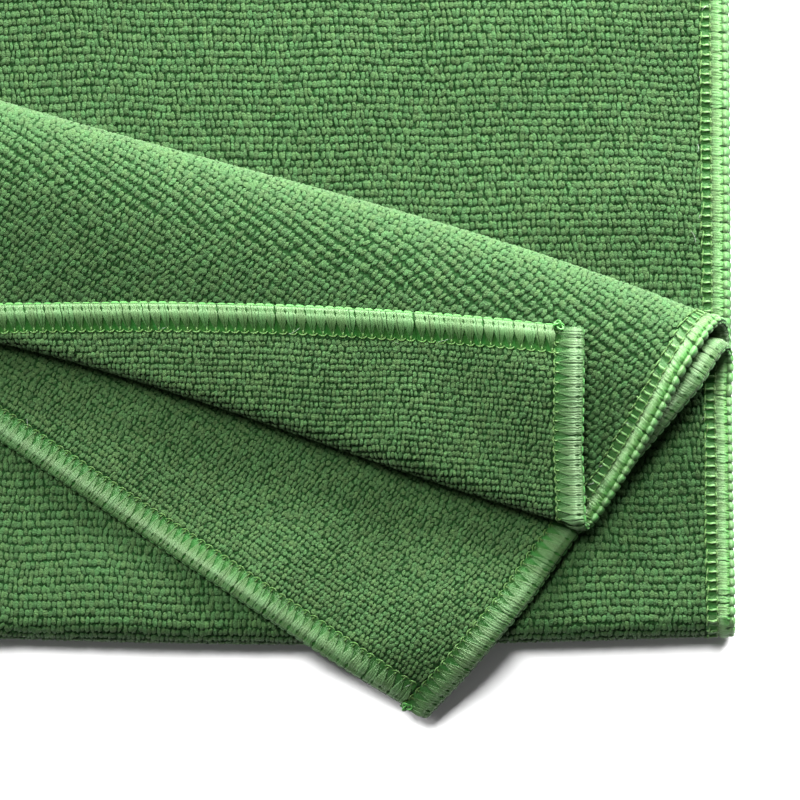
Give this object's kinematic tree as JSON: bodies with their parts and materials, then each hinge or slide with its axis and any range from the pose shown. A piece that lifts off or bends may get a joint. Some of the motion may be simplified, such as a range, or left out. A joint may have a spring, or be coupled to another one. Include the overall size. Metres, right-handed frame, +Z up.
{
  "type": "microfibre cleaning cloth",
  "caption": "Square terry microfibre cleaning cloth with an overlocked edge, folded in quarters with its top corner turned down and back up.",
  "frame": {"origin": "middle of the folded cloth's outline, on the surface it rests on", "axes": "+Z up; the first fold is to -X, the second fold to -Y, and the open edges of the stack are to +X and +Y"},
  "size_m": [0.2368, 0.2295, 0.0239],
  "materials": {
    "green_microfibre": "matt looped terry pile with a sewn overlock edge"
  },
  "bodies": {
    "root": {"cloth": "green_microfibre"}
  },
  "joints": []
}
